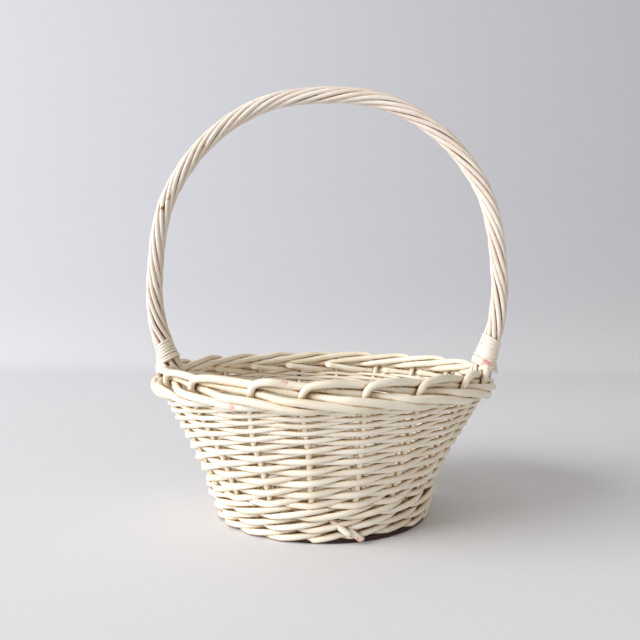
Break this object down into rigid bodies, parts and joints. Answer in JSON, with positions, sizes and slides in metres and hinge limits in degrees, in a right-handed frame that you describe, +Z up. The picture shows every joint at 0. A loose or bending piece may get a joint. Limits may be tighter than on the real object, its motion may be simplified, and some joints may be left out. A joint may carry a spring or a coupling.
{
  "type": "wicker basket",
  "caption": "Round flared willow basket with a rolled border and a tall fixed roped handle, painted off-white, for carrying eggs or gifts.",
  "frame": {"origin": "on the floor under the middle of the base", "axes": "+Z up, X along the span of the handle, -Y the front"},
  "size_m": [0.3289, 0.3012, 0.383],
  "materials": {
    "base_willow": "worn off-white paint over willow, satin",
    "stake_willow": "worn off-white paint over willow, satin",
    "weaver_willow": "worn off-white paint over willow, satin",
    "handle_willow": "worn off-white paint over willow, satin",
    "binding_cane": "worn off-white paint over split cane, satin"
  },
  "bodies": {
    "root": {"base_cross": "base_willow", "base_rod_1": "base_willow", "base_rod_2": "base_willow", "stake_01": "stake_willow", "stake_02": "stake_willow", "stake_03": "stake_willow", "stake_04": "stake_willow", "stake_05": "stake_willow", "stake_06": "stake_willow", "stake_07": "stake_willow", "stake_08": "stake_willow", "stake_09": "stake_willow", "stake_10": "stake_willow", "stake_11": "stake_willow", "stake_12": "stake_willow", "stake_13": "stake_willow", "stake_14": "stake_willow", "stake_15": "stake_willow", "stake_16": "stake_willow", "stake_17": "stake_willow", "stake_18": "stake_willow", "stake_19": "stake_willow", "stake_20": "stake_willow", "wale_rod_1_lower": "weaver_willow", "wale_rod_1_upper": "weaver_willow", "wale_rod_2_lower": "weaver_willow", "wale_rod_2_upper": "weaver_willow", "wale_rod_3_lower": "weaver_willow", "wale_rod_3_upper": "weaver_willow", "weaver_01": "weaver_willow", "weaver_02": "weaver_willow", "weaver_03": "weaver_willow", "weaver_04": "weaver_willow", "weaver_05": "weaver_willow", "weaver_06": "weaver_willow", "weaver_07": "weaver_willow", "weaver_08": "weaver_willow", "weaver_09": "weaver_willow", "weaver_10": "weaver_willow", "weaver_11": "weaver_willow", "weaver_12": "weaver_willow", "weaver_13": "weaver_willow", "weaver_14": "weaver_willow", "weaver_15": "weaver_willow", "weaver_16": "weaver_willow", "weaver_17": "weaver_willow", "weaver_18": "weaver_willow", "weaver_19": "weaver_willow", "weaver_20": "weaver_willow", "handle_bow": "handle_willow", "handle_rope_rod_1": "handle_willow", "handle_rope_rod_2": "handle_willow", "handle_rope_rod_3": "handle_willow", "handle_rope_rod_4": "handle_willow", "handle_rope_rod_5": "handle_willow", "handle_rope_rod_6": "handle_willow", "handle_rope_rod_7": "handle_willow", "handle_rope_rod_8": "handle_willow", "handle_binding_right": "binding_cane", "handle_binding_left": "binding_cane"}
  },
  "joints": []
}
